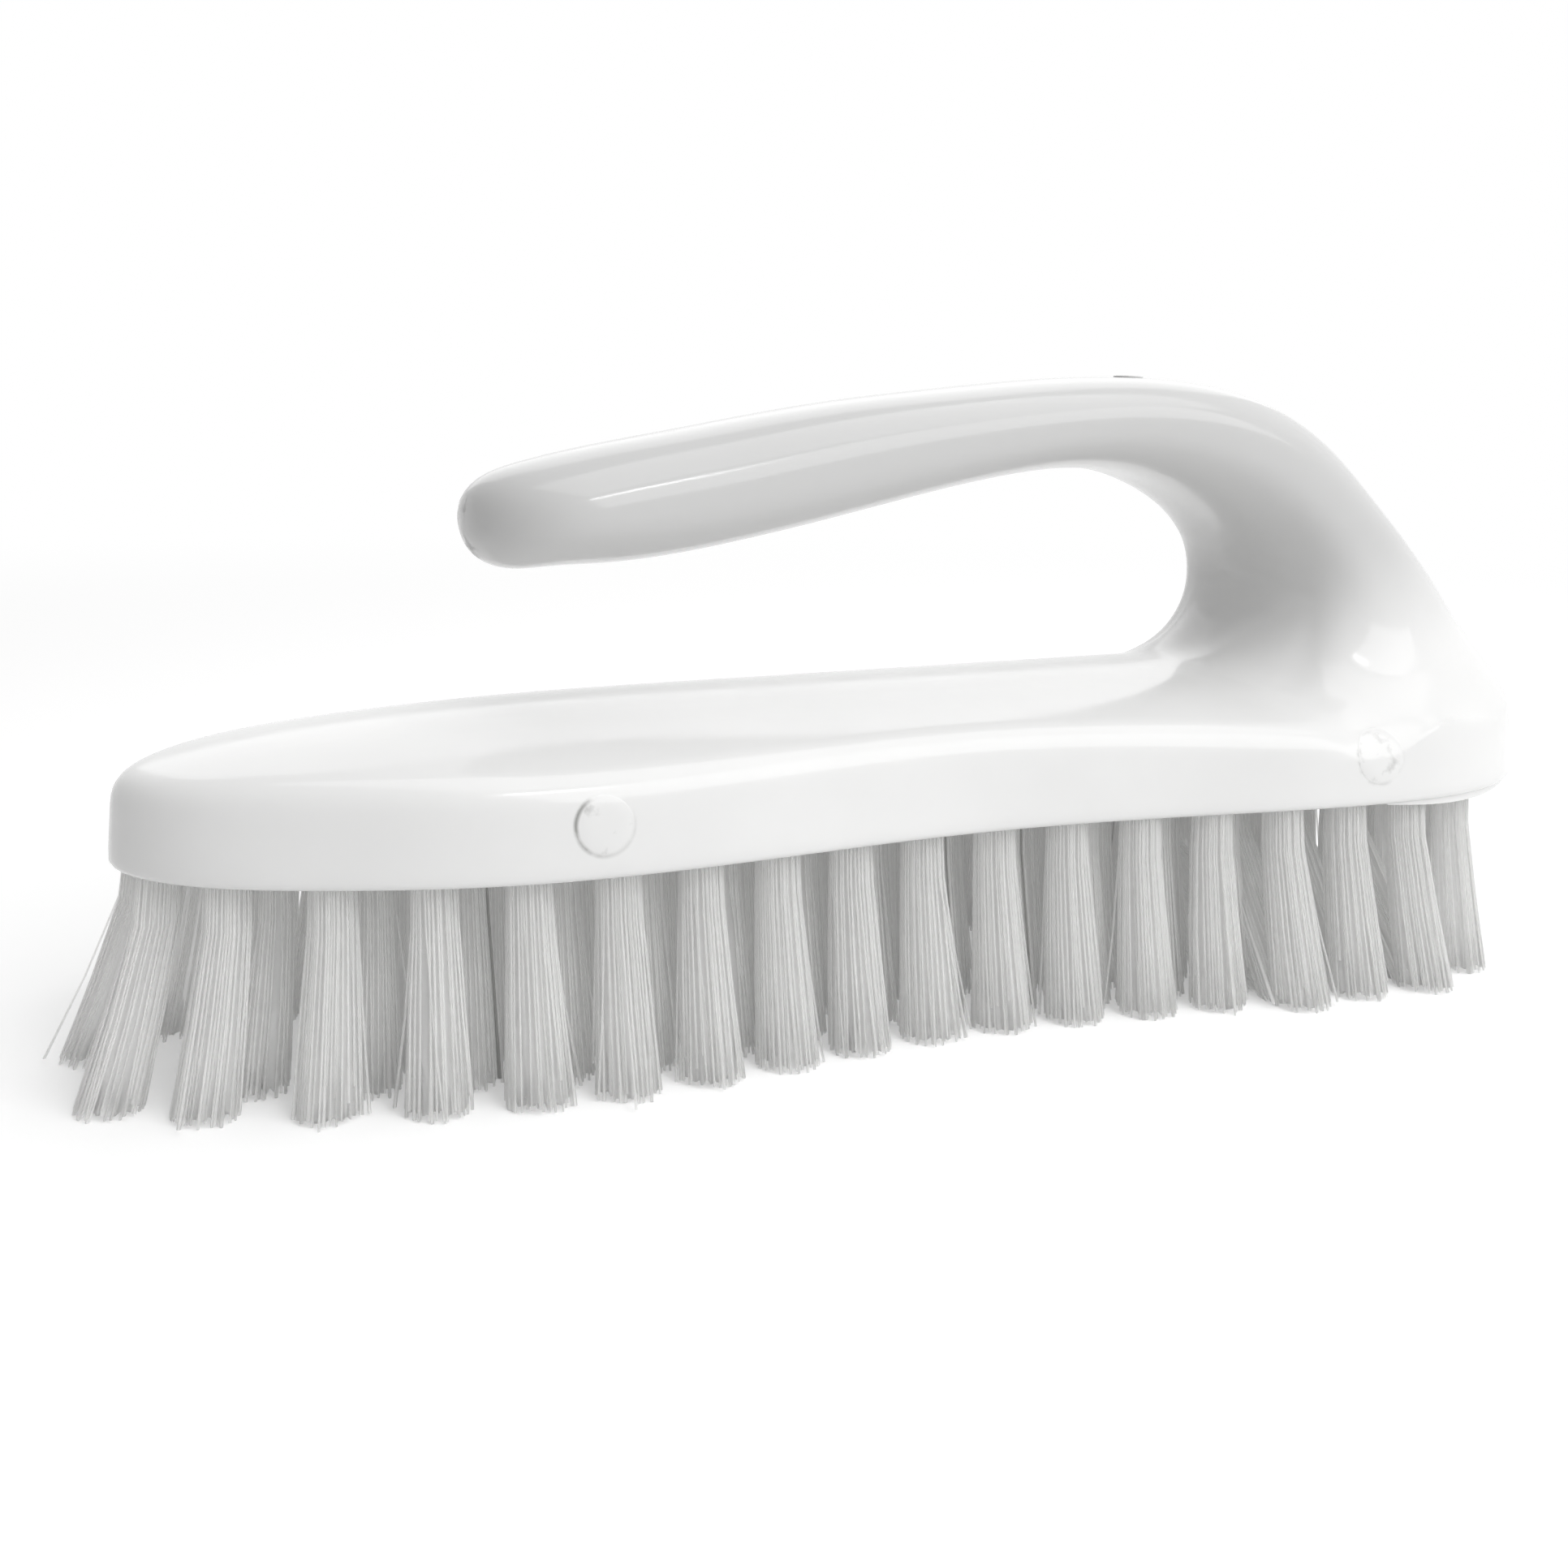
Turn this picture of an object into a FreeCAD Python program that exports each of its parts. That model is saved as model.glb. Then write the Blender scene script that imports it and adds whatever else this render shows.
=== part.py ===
import FreeCAD, Part
import math
import os

from FreeCAD import Placement, Rotation, Vector

# Scrub brush: one moulding, a waisted block with an open hook handle, set with stapled tufts.
# X runs along the brush with the toe at -X, Z is up, and the tuft tips stand on Z = 0.

doc = FreeCAD.newDocument("scrub_brush")
sheet = doc.addObject("Spreadsheet::Sheet", "Sizes")

driving_sizes = {
    # block
    "block_length": 186.0,
    "toe_half_width": 26.1,
    "waist_half_width": 23.8,
    "heel_half_width": 30.4,
    "block_thickness": 15.0,
    "wall_draft_angle": 6.0,
    "crown_radius": 75.0,
    "toe_droop": 4.8,
    "top_edge_radius": 3.4,
    "rim_radius": 1.5,
    # hook handle
    "handle_reach": 53.5,
    "handle_rise": 52.0,
    "grip_width": 26.8,
    "grip_thickness": 13.4,
    "leg_setback": 65.7,
    "leg_width": 34.6,
    "leg_thickness": 18.2,
    "foot_width": 39.4,
    "foot_length": 25.5,
    "root_radius": 9.0,
    # tufts
    "bristle_trim": 24.0,
    "tuft_pitch": 9.6,
    "line_pitch": 6.2,
    "edge_margin": 4.8,
    "hole_diameter": 4.6,
    "hole_depth": 6.5,
    "tuft_clearance": 0.1,
    "tip_diameter": 6.2,
    "toe_pair_setback": 5.6,
    "toe_pair_pitch": 9.0,
    "toe_lean": 8.5,
    "heel_lean": 3.5,
    "side_lean": 4.0,
    # anchors: short lengths of flat wire across the bottom of each hole
    "anchor_thickness": 0.4,
    "anchor_height": 1.6,
    "anchor_bite": 0.3,
    # how far cutting shapes run past what they cut, and how near counts as touching
    "overrun": 6.0,
    "meeting_tolerance": 0.01,
}

for line, (alias, value) in enumerate(driving_sizes.items(), start=1):
    sheet.set(f"A{line}", alias)
    sheet.set(f"B{line}", str(value))
    sheet.setAlias(f"B{line}", alias)
doc.recompute()


def size(alias):
    return float(sheet.get(alias))


half_length = size("block_length") / 2
underside = size("bristle_trim")
crest = underside + size("block_thickness")

# Half outline from toe to heel: share of the half length, the width it follows, share of that width.
outline_shares = (
    (-0.950, "toe", 0.40),
    (-0.810, "toe", 0.72),
    (-0.590, "toe", 0.965),
    (-0.440, "toe", 1.00),
    (0.000, "waist", 1.00),
    (0.300, "heel", 0.87),
    (0.610, "heel", 1.00),
    (0.810, "heel", 0.92),
    (0.950, "heel", 0.60),
)

# Crest line of the crowned top: share of the half length, share of the toe droop.
crest_shares = (
    (-1.06, 1.45),
    (-0.86, 0.58),
    (-0.70, 0.24),
    (-0.48, 0.04),
    (-0.22, 0.00),
    (0.10, 0.00),
    (0.42, 0.00),
    (0.74, 0.00),
    (1.06, 0.00),
)

wall_stretches = 8

# Grip from the nose to mid-length: shares of reach, rise, grip thickness and grip width, then slope.
grip_shares = (
    (0.996, 0.670, 0.26, 0.22, 8),
    (0.974, 0.673, 0.53, 0.46, 8),
    (0.928, 0.681, 0.77, 0.70, 8),
    (0.852, 0.696, 0.87, 0.90, 8),
    (0.735, 0.712, 0.95, 0.97, 8),
    (0.511, 0.744, 1.01, 0.99, 9),
    (0.159, 0.810, 0.97, 1.00, 9),
)

# Bend and leg: shares of setback, rise, leg thickness and leg width, then slope.
leg_shares = (
    (0.175, 0.869, 0.62, 0.775, 7),
    (0.394, 0.890, 0.615, 0.79, 1),
    (0.546, 0.879, 0.69, 0.83, -10),
    (0.788, 0.779, 0.87, 0.91, -42),
    (0.923, 0.606, 1.00, 1.00, -60),
)

# Foot of the leg, run down into the block: shares of setback, rise, foot length and foot width, then slope.
foot_shares = (
    (1.000, 0.435, 1.03, 1.03, -78),
    (1.040, 0.310, 1.22, 1.10, -80),
    (1.072, 0.175, 1.40, 1.20, -82),
)


def outline_curve(inset, level):
    widths = {name: size(f"{name}_half_width") - inset for name in ("toe", "waist", "heel")}
    length = half_length - inset
    side = [(along * length, share * widths[name]) for along, name, share in outline_shares]
    points = [Vector(-length, 0, level)]
    points += [Vector(x, -y, level) for x, y in side]
    points += [Vector(length, 0, level)]
    points += [Vector(x, y, level) for x, y in reversed(side)]
    curve = Part.BSplineCurve()
    curve.interpolate(Points=points, PeriodicFlag=True)
    return curve


# The outline is one smooth curve, kept as several edges so that the wall has a face for each stretch.
def outline(name, inset, level):
    curve = outline_curve(inset, level)
    first = curve.FirstParameter
    stretch = (curve.LastParameter - first) / wall_stretches
    edges = [
        curve.toShape(first + number * stretch, first + (number + 1) * stretch)
        for number in range(wall_stretches)
    ]
    feature = doc.addObject("Part::Feature", name)
    feature.Shape = Part.Wire(edges)
    return feature


def loft(name, sections, ruled=False):
    solid = doc.addObject("Part::Loft", name)
    solid.Sections = sections
    solid.Solid = True
    solid.Ruled = ruled
    return solid


def boolean(kind, name, base, tool):
    result = doc.addObject(f"Part::{kind}", name)
    result.Base = base
    result.Tool = tool
    return result


# Ellipse across the handle, square to its centre line; thickness and width each name a size and its share.
def handle_section(name, x, z, thickness, width, slope):
    angle = math.radians(slope)
    along = Vector(math.cos(angle), 0, math.sin(angle))
    up = Vector(-math.sin(angle), 0, math.cos(angle))
    across = Vector(0, 1, 0)
    thick_alias, thick_share = thickness
    wide_alias, wide_share = width
    if size(wide_alias) * wide_share >= size(thick_alias) * thick_share:
        turn = Rotation(across, up, along, "ZXY")
    else:
        turn = Rotation(up, across.negative(), along, "ZXY")
    axes = f"Sizes.{wide_alias} * {wide_share}; Sizes.{thick_alias} * {thick_share}"
    section = doc.addObject("Part::Ellipse", name)
    section.setExpression("MajorRadius", f"max({axes}) / 2")
    section.setExpression("MinorRadius", f"min({axes}) / 2")
    section.Placement = Placement(Vector(x, 0, z), turn)
    return section


def crowned_block():
    rise = size("block_thickness") + size("overrun")
    inset = rise * math.tan(math.radians(size("wall_draft_angle")))
    rim = outline("rim_outline", 0, underside)
    top = outline("top_outline", inset, underside + rise)
    blank = loft("block_blank", [rim, top])
    hoops = []
    for number, (along, droop) in enumerate(crest_shares):
        hoop = doc.addObject("Part::Circle", f"crown_hoop_{number}")
        hoop.setExpression("Radius", "Sizes.crown_radius")
        height = crest - droop * size("toe_droop") - size("crown_radius")
        hoop.Placement = Placement(Vector(along * half_length, 0, height), Rotation(Vector(0, 1, 0), 90))
        hoops.append(hoop)
    crowned = boolean("Common", "crowned_block", blank, loft("crown", hoops))
    doc.recompute()
    rounded = doc.addObject("Part::Fillet", "rounded_block")
    rounded.Base = crowned
    rounded.Edges = [
        (number, size(radius), size(radius))
        for number, edge in enumerate(crowned.Shape.Edges, start=1)
        for radius in edge_rounding(edge)
    ]
    return rounded


# The seam up the toe keeps its place; the rim and the top edge are rounded.
def edge_rounding(edge):
    low, high = edge.BoundBox.ZMin, edge.BoundBox.ZMax
    middle = underside + size("rim_radius")
    if high < middle:
        return ["rim_radius"]
    if low > middle:
        return ["top_edge_radius"]
    return []


def hook_handle():
    sections = []
    for number, (reach, rise, thick, wide, slope) in enumerate(grip_shares):
        x = -reach * size("handle_reach")
        z = underside + rise * size("handle_rise")
        sections.append(handle_section(
            f"grip_section_{number}", x, z, ("grip_thickness", thick), ("grip_width", wide), slope))
    for number, (back, rise, thick, wide, slope) in enumerate(leg_shares):
        x = back * size("leg_setback")
        z = underside + rise * size("handle_rise")
        sections.append(handle_section(
            f"leg_section_{number}", x, z, ("leg_thickness", thick), ("leg_width", wide), slope))
    for number, (back, rise, long, wide, slope) in enumerate(foot_shares):
        x = back * size("leg_setback")
        z = underside + rise * size("handle_rise")
        sections.append(handle_section(
            f"foot_section_{number}", x, z, ("foot_length", long), ("foot_width", wide), slope))
    return loft("hook_handle", sections)


# Edges where the leg meets the crown: their middles lie on both pieces.
def root_edges(moulding):
    numbers = []
    for number, edge in enumerate(moulding.Shape.Edges, start=1):
        middle = Part.Vertex(edge.valueAt((edge.FirstParameter + edge.LastParameter) / 2))
        gaps = [middle.distToShape(piece.Shape)[0] for piece in (moulding.Base, moulding.Tool)]
        if max(gaps) < size("meeting_tolerance"):
            numbers.append(number)
    return numbers


def round_root(moulding):
    doc.recompute()
    rooted = doc.addObject("Part::Fillet", "rooted_moulding")
    rooted.Base = moulding
    rooted.Edges = [(number, size("root_radius"), size("root_radius")) for number in root_edges(moulding)]
    return rooted


# Tuft lines on each side of the centre line: lines in from the edge, first and last half-pitch step.
side_lines = (
    ("outer", 0, -17, 15),
    ("second", 1, -16, 16),
    ("third", 2, -13, 15),
)
centre_first, centre_last = -14, 16
toe_step = -18


# Half width at x of a line that follows the outline, a whole number of lines in from the edge.
def line_half_width(lines_in, x):
    inset = size("edge_margin") + lines_in * size("line_pitch")
    face = Part.Face(Part.Wire(outline_curve(inset, underside).toShape()))
    return face.slice(Vector(1, 0, 0), x)[0].BoundBox.YMax


# Places as line, row, x and y: staggered lines that follow the outline, and a pair at the toe.
def tuft_places():
    toe_x = size("toe_pair_setback") - half_length
    toe_y = size("toe_pair_pitch") / 2
    places = [("outer_near", toe_step, toe_x, -toe_y), ("outer_far", toe_step, toe_x, toe_y)]
    for step in range(centre_first, centre_last + 1, 2):
        places.append(("centre", step, step * size("tuft_pitch") / 2, 0.0))
    for name, lines_in, first, last in side_lines:
        for step in range(first, last + 1, 2):
            x = step * size("tuft_pitch") / 2
            y = line_half_width(lines_in, x)
            places.append((f"{name}_near", step, x, -y))
            places.append((f"{name}_far", step, x, y))
    return places


# Holes and tufts are round on the brush and have six sides here.
tuft_sides = 6


def hole_at(name, x, y):
    hole = doc.addObject("Part::Prism", name)
    hole.Polygon = tuft_sides
    hole.setExpression("Circumradius", "Sizes.hole_diameter / 2")
    hole.setExpression("Height", "Sizes.hole_depth + Sizes.overrun")
    hole.Placement = Placement(Vector(x, y, underside - size("overrun")), Rotation())
    return hole


lean_power = 5


# A tuft stands straight in its hole on the anchor, then leans and spreads to the flat-cut tips.
def tuft_at(name, x, y):
    end_lean = size("toe_lean") if x < 0 else size("heel_lean")
    tip_x = x + end_lean * (x / half_length) ** lean_power
    tip_y = y + size("side_lean") * y / line_half_width(0, x)
    seat = underside + size("hole_depth") - size("anchor_height")
    root = "Sizes.hole_diameter / 2 - Sizes.tuft_clearance"
    sections = []
    for part, centre, radius in (
        ("seat", Vector(x, y, seat), root),
        ("mouth", Vector(x, y, underside), root),
        ("tip", Vector(tip_x, tip_y, 0), "Sizes.tip_diameter / 2"),
    ):
        section = doc.addObject("Part::RegularPolygon", f"{name}_{part}")
        section.Polygon = tuft_sides
        section.setExpression("Circumradius", radius)
        section.Placement = Placement(centre, Rotation())
        sections.append(section)
    return loft(name, sections, ruled=True)


# The anchor lies on the floor of the hole and its ends bite into the wall.
def anchor_at(name, x, y):
    anchor = doc.addObject("Part::Box", name)
    anchor.setExpression("Length", "Sizes.anchor_thickness")
    anchor.setExpression("Width", "Sizes.hole_diameter + 2 * Sizes.anchor_bite")
    anchor.setExpression("Height", "Sizes.anchor_height")
    reach = size("hole_diameter") / 2 + size("anchor_bite")
    seat = underside + size("hole_depth") - size("anchor_height")
    anchor.Placement = Placement(Vector(x - size("anchor_thickness") / 2, y - reach, seat), Rotation())
    return anchor


def group(name, links):
    compound = doc.addObject("Part::Compound", name)
    compound.Links = links
    return compound


moulding = round_root(boolean("Fuse", "moulding", crowned_block(), hook_handle()))

holes = []
tuft_rows = {}
anchor_lines = {}
for number, (line_name, step, x, y) in enumerate(tuft_places(), start=1):
    holes.append(hole_at(f"hole_{number}", x, y))
    tuft_rows.setdefault(step, []).append(tuft_at(f"tuft_{number}", x, y))
    anchor_lines.setdefault(line_name, []).append(anchor_at(f"anchor_{number}", x, y))

sub_parts = [boolean("Cut", "brush_block", moulding, group("holes", holes))]
for row, step in enumerate(sorted(tuft_rows), start=1):
    sub_parts.append(group(f"tuft_row_{row:02d}", tuft_rows[step]))
for line_name, anchors in anchor_lines.items():
    sub_parts.append(group(f"anchors_{line_name}", anchors))

doc.recompute()
for item in doc.Objects:
    if "Invalid" in item.State or "Error" in item.State:
        raise RuntimeError(f"{item.Label} failed: {item.State}")
for part in sub_parts:
    part.Label = part.Name
    if part.Shape.isNull() or not part.Shape.isValid():
        raise RuntimeError(f"{part.Label} is not a valid shape")

os.makedirs("parts", exist_ok=True)
for part in sub_parts:
    part.Shape.exportStep(f"parts/{part.Label}.step")
print(len(sub_parts), "nodes,", len(holes), "tufts")
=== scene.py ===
import math

import bpy
import numpy as np
from mathutils import Matrix, Vector


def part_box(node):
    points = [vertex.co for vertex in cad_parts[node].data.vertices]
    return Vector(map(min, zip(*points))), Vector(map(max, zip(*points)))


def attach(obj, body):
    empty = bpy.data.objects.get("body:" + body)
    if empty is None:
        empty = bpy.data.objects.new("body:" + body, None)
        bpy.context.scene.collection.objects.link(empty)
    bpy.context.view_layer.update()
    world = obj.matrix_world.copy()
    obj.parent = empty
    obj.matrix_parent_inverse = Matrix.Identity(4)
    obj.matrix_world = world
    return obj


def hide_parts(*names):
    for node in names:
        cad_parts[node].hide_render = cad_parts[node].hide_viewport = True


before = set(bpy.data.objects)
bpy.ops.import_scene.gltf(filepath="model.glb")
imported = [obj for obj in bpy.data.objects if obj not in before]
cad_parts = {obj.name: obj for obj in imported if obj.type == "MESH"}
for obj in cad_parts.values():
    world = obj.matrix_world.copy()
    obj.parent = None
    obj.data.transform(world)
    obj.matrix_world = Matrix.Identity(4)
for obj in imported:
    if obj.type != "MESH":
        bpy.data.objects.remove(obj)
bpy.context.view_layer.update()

diceSeed = 11
dice = np.random.default_rng(diceSeed)
print("frame loaded:", len(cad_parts), "nodes")


def pick(*pieces):
    if bpy.context.object and bpy.context.object.mode != "OBJECT":
        bpy.ops.object.mode_set(mode="OBJECT")
    bpy.ops.object.select_all(action="DESELECT")
    for piece in pieces:
        piece.select_set(True)
    bpy.context.view_layer.objects.active = pieces[-1] if pieces else None


def discard(*pieces):
    pick(*pieces)
    bpy.ops.object.delete()


def applyModifier(piece, kind, **settings):
    pick(piece)
    modifier = piece.modifiers.new(kind.lower(), kind)
    for name, value in settings.items():
        setattr(modifier, name, value)
    bpy.ops.object.modifier_apply(modifier=modifier.name)


def coordinates(piece):
    flat = np.empty(len(piece.data.vertices) * 3)
    piece.data.vertices.foreach_get("co", flat)
    return flat.reshape(-1, 3)


def moveTo(piece, places):
    piece.data.vertices.foreach_set("co", np.asarray(places, float).ravel())
    piece.data.update()


def copyOf(piece):
    copy = piece.copy()
    copy.data = piece.data.copy()
    bpy.context.collection.objects.link(copy)
    return copy


# a cubic spline through given rows, open or closed
def splineThrough(knots, rows, wanted, closed=False):
    rows = np.asarray(rows, float)
    steps = np.diff(knots)
    slopes = np.diff(rows, axis=0) / steps[:, None]
    count = len(knots)
    system = np.eye(count)
    right = np.zeros_like(rows)
    for i in range(1, count - 1):
        system[i, i - 1:i + 2] = steps[i - 1], 2 * (steps[i - 1] + steps[i]), steps[i]
        right[i] = 6 * (slopes[i] - slopes[i - 1])
    if closed:
        system[0] = 0
        system[0, [0, 1, count - 2]] = 2 * (steps[0] + steps[-1]), steps[0], steps[-1]
        right[0] = 6 * (slopes[0] - slopes[-1])
        system[-1, 0] = -1
    bends = np.linalg.solve(system, right)
    at = np.clip(np.searchsorted(knots, wanted, side="right") - 1, 0, count - 2)
    width = steps[at][:, None]
    past = (np.asarray(wanted) - np.asarray(knots)[at])[:, None]
    left = width - past
    return (bends[at] * left ** 3 + bends[at + 1] * past ** 3) / (6 * width) + (
        rows[at] / width - bends[at] * width / 6) * left + (
        rows[at + 1] / width - bends[at + 1] * width / 6) * past


def chordKnots(rows):
    return np.concatenate([[0], np.cumsum(np.linalg.norm(np.diff(rows, axis=0), axis=1))])


# camera at the photograph's angle

cameraSet = {
    "place": (-0.10934, -0.20301, 0.07588),
    "headingDeg": 25.278,
    "dipDeg": 12.415,
    "rollDeg": -0.653,
    "lensMm": 42.71,
    "sensorMm": 36.0,
    "clipStart": 0.005,
}


def makeCamera():
    heading, dip, roll = (math.radians(cameraSet[k]) for k in ("headingDeg", "dipDeg", "rollDeg"))
    level = math.cos(dip)
    forward = Vector((math.sin(heading) * level, math.cos(heading) * level, -math.sin(dip)))
    across = Vector((math.cos(heading), -math.sin(heading), 0))
    down = forward.cross(across)
    right = math.cos(roll) * across + math.sin(roll) * down
    up = math.sin(roll) * across - math.cos(roll) * down
    turn = Matrix((right, up, -forward)).transposed().to_4x4()
    bpy.ops.object.camera_add()
    camera = bpy.context.object
    camera.name = "photoCamera"
    camera.matrix_world = Matrix.Translation(cameraSet["place"]) @ turn
    camera.data.lens = cameraSet["lensMm"]
    camera.data.sensor_width = cameraSet["sensorMm"]
    camera.data.clip_start = cameraSet["clipStart"]
    bpy.context.scene.camera = camera


makeCamera()
print("camera placed")


# the moulding: block and hook handle in one skin, drawn upwards ring by ring

moulding = {
    "ringPoints": 144,
    "outlineSteps": 4001,
    "heelDensity": 2.2,
    "denseSpan": (0.2, 0.3),  # where points begin to stand closer, and over how much, in half lengths
    # how far round the leg a point on the near edge belongs, by its share along the half length
    "ringTurns": [(-1.0, 0), (-0.2, 9), (0.30, 19), (0.48, 30), (0.72, 90), (1.0, 180)],
    "onAxis": 1e-9,
    "halfLength": 0.093,
    "toeHalfWidth": 0.0261,
    "waistHalfWidth": 0.0238,
    "heelHalfWidth": 0.0304,
    "thickness": 0.015,
    "wallDraftDeg": 6.0,
    "midWall": 0.4,
    "crownRadius": 0.075,
    "toeDroop": 0.0048,
    "topEdgeReach": (0.0029, 0.0038),  # along the sides, round the heel
    "topEdgeSpan": (0.5, 0.8),  # radians round the leg at which it begins to grow, and over how many
    "topEdgePasses": 3,
    "rimBevel": 0.0011,
    "rimSegments": 3,
    "edgeRings": 7,
    "crownRings": 15,
    "rootRings": 7,
    "legRings": 6,
    "gripRings": 46,
    "legShare": 0.42,  # of the way to the nose, as far as the leg is followed
    "legSteps": 90,
    "fullStation": 3,  # the first section that the rings cross squarely
    "fullPast": 0.02,
    "rootRadius": (0.0110, 0.0060, 0.0045),  # front, side, back of the leg
    "rootPower": 1.5,
    "rootClear": 0.0004,
    "rootPasses": 4,
    # the flare of the leg into the wall, each beside the leg and behind it
    "heelFlareFrom": (0.0112, 0.0080),  # height on the wall
    "heelFlareTo": (0.0040, 0.0075),  # height above the crown
    "heelFlareUp": (0.0028, 0.0065),
    "heelFlareDown": (0.0028, 0.0050),
    "heelFlareTurns": (56, 92, 150),  # degrees round the leg: none, all, full size
    "flareStep": 0.001,
    # the evened skin beside the leg, in degrees round it: none, all, still all, none
    "easeTurns": (36, 66, 92, 140),
    "easeRings": (2, 5),  # first ring, and how many past the root
    "easeSteps": 120,
    "easeShare": 0.5,
    "easePower": 0.5,
    "smoothDeg": 40,
    # share along the half length, which half width, share of it
    "outlineShares": [
        (-0.950, "toe", 0.40), (-0.810, "toe", 0.72), (-0.590, "toe", 0.965), (-0.440, "toe", 1.00),
        (0.000, "waist", 1.00), (0.300, "heel", 0.87), (0.610, "heel", 1.00), (0.810, "heel", 0.92),
        (0.950, "heel", 0.60),
    ],
    # share along the half length, share of the toe's droop
    "crestShares": [
        (-1.06, 1.45), (-0.86, 0.58), (-0.70, 0.24), (-0.48, 0.04), (-0.22, 0.0), (0.10, 0.0), (1.06, 0.0),
    ],
    # from the foot of the leg to the nose: x, z, half thickness, half width; then slope and squareness
    "handleStations": [
        (0.0709, 0.0331, 0.0174, 0.0236, -82, 2.4),
        (0.0691, 0.0401, 0.0148, 0.0217, -80, 2.5),
        (0.0667, 0.0466, 0.0121, 0.0203, -78, 2.6),
        (0.0613, 0.0557, 0.0084, 0.0173, -60, 2.7),
        (0.0518, 0.0645, 0.0079, 0.0157, -42, 2.6),
        (0.0359, 0.0697, 0.0063, 0.0144, -10, 2.5),
        (0.0259, 0.0703, 0.0056, 0.0137, 1, 2.4),
        (0.0115, 0.0692, 0.0056, 0.0134, 7, 2.4),
        (-0.0085, 0.0661, 0.0065, 0.0134, 9, 2.4),
        (-0.0273, 0.0627, 0.0068, 0.0133, 9, 2.3),
        (-0.0393, 0.0610, 0.0064, 0.0130, 8, 2.2),
        (-0.0456, 0.0602, 0.0058, 0.0121, 8, 2.1),
        (-0.0497, 0.0594, 0.0052, 0.0094, 8, 2.1),
        (-0.0521, 0.0590, 0.0036, 0.0062, 8, 2.0),
        (-0.0533, 0.0588, 0.0017, 0.0030, 8, 2.0),
    ],
}
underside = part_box("brush_block")[0][2]


def outlineLoop():
    half = moulding["halfLength"]
    near = [
        (s * half, -share * moulding[side + "HalfWidth"]) for s, side, share in moulding["outlineShares"]]
    far = [(x, -y) for x, y in reversed(near)]
    corners = np.array([(-half, 0)] + near + [(half, 0)] + far + [(-half, 0)])
    knots = chordKnots(corners)
    fine = np.linspace(0, knots[-1], moulding["outlineSteps"])
    track = splineThrough(knots, corners, fine, closed=True)
    start, over = moulding["denseSpan"]
    heel = np.clip((track[:, 0] / half - start) / over, 0, 1)
    dense = 1 + (moulding["heelDensity"] - 1) * heel[1:]
    length = np.concatenate([[0], np.cumsum(np.linalg.norm(np.diff(track, axis=0), axis=1) * dense)])
    wanted = np.interp(np.linspace(0, length[-1], moulding["ringPoints"] + 1)[:-1], length, fine)
    return splineThrough(knots, corners, wanted, closed=True)


def ringTurns():
    loop = outlineLoop()
    shares, degrees = zip(*moulding["ringTurns"])
    turn = np.radians(np.interp(loop[:, 0] / moulding["halfLength"], shares, degrees))
    return np.where(loop[:, 1] > moulding["onAxis"], 2 * math.pi - turn, turn)


def outward(loop):
    along = np.roll(loop, -1, axis=0) - np.roll(loop, 1, axis=0)
    normal = np.stack([along[:, 1], -along[:, 0]], axis=1)
    return normal / np.linalg.norm(normal, axis=1)[:, None]


def crownHeight(plan):
    half, radius = moulding["halfLength"], moulding["crownRadius"]
    knots = [s * half for s, _ in moulding["crestShares"]]
    droop = splineThrough(knots, [[share] for _, share in moulding["crestShares"]], plan[:, 0])[:, 0]
    crest = underside + moulding["thickness"] - moulding["toeDroop"] * droop
    return crest - radius + np.sqrt(radius ** 2 - plan[:, 1] ** 2)


def wallInset(height):
    return (height - underside) * math.tan(math.radians(moulding["wallDraftDeg"]))


# handle surface: one row of points round the section at each share of the way from foot to nose
def handleRings(shares):
    stations = np.array(moulding["handleStations"])
    knots = chordKnots(stations[:, :4])
    rows = splineThrough(knots, stations, np.asarray(shares) * knots[-1])
    turn = ringTurns()
    rings = []
    for x, z, thick, wide, slope, square in rows:
        front = np.sign(np.cos(turn)) * np.abs(np.cos(turn)) ** (2 / square)
        side = np.sign(np.sin(turn)) * np.abs(np.sin(turn)) ** (2 / square)
        lean = math.radians(slope)
        rings.append(np.stack([
            x + thick * front * math.sin(lean), -wide * side, z - thick * front * math.cos(lean)], axis=1))
    return np.array(rings)


def bezier(t, *points):
    while len(points) > 1:
        points = [a + (b - a) * t for a, b in zip(points, points[1:])]
    return points[0]


def smooth(t):
    t = np.clip(t, 0, 1)
    return t * t * (3 - 2 * t)


def nearest(points, others):
    return np.array([np.min(np.linalg.norm(others - point, axis=1)) for point in points])


def turnsOf(name):
    return (math.radians(degrees) for degrees in moulding[name])


# the point at its own share of the way on each line up the leg
def alongLeg(lines, shares, wanted):
    return np.array([
        [np.interp(wanted[j], shares, lines[:, j, k]) for k in range(3)] for j in range(lines.shape[1])])


# the point at its own height on each line up the leg, and its share of the way
def legAt(lines, shares, heights):
    found = np.array([np.interp(heights[j], lines[:, j, 2], shares) for j in range(lines.shape[1])])
    return alongLeg(lines, shares, found), found


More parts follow.
